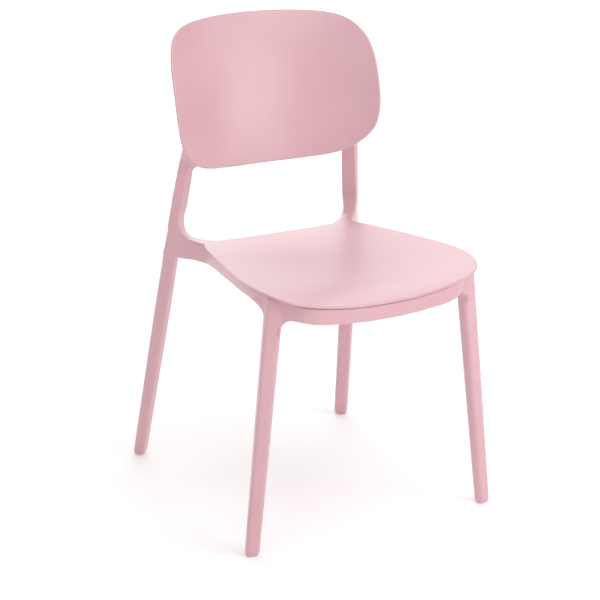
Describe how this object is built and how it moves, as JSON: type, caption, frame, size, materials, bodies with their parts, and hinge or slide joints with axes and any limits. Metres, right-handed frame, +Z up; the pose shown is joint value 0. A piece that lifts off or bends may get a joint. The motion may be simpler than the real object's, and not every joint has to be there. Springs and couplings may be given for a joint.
{
  "type": "stacking chair",
  "caption": "Armless stacking chair with a dished seat pan, a wide curved back panel with rounded corners and splayed legs in one colour of satin moulded plastic",
  "frame": {"origin": "middle of the bounding box in X and Y, on the floor that the glides stand on", "axes": "+Z up; the sitter faces -Y; +X is the sitter's left"},
  "size_m": [0.478, 0.5226, 0.812],
  "materials": {
    "seat_plastic": "satin moulded polypropylene, fine mould grain",
    "back_plastic": "satin moulded polypropylene, fine mould grain",
    "frame_plastic": "satin moulded polypropylene, smoother than the seat",
    "glide_plastic": "moulded nylon, dull",
    "fitting_plastic": "soft moulded polyethylene, dull",
    "screw_steel": "zinc plated"
  },
  "bodies": {
    "root": {"seat_shell": "seat_plastic", "back_shell": "back_plastic", "front_apron": "frame_plastic", "rear_rail": "frame_plastic", "side_rail_left": "frame_plastic", "front_leg_left": "frame_plastic", "rear_leg_left": "frame_plastic", "front_glide_left": "glide_plastic", "rear_glide_left": "glide_plastic", "leg_plug_left": "fitting_plastic", "front_stacking_pad_left": "fitting_plastic", "rear_stacking_pad_left": "fitting_plastic", "side_rail_right": "frame_plastic", "front_leg_right": "frame_plastic", "rear_leg_right": "frame_plastic", "front_glide_right": "glide_plastic", "rear_glide_right": "glide_plastic", "leg_plug_right": "fitting_plastic", "front_stacking_pad_right": "fitting_plastic", "rear_stacking_pad_right": "fitting_plastic", "seat_screws": "screw_steel", "back_screws": "screw_steel", "frame_screws": "screw_steel"}
  },
  "joints": []
}
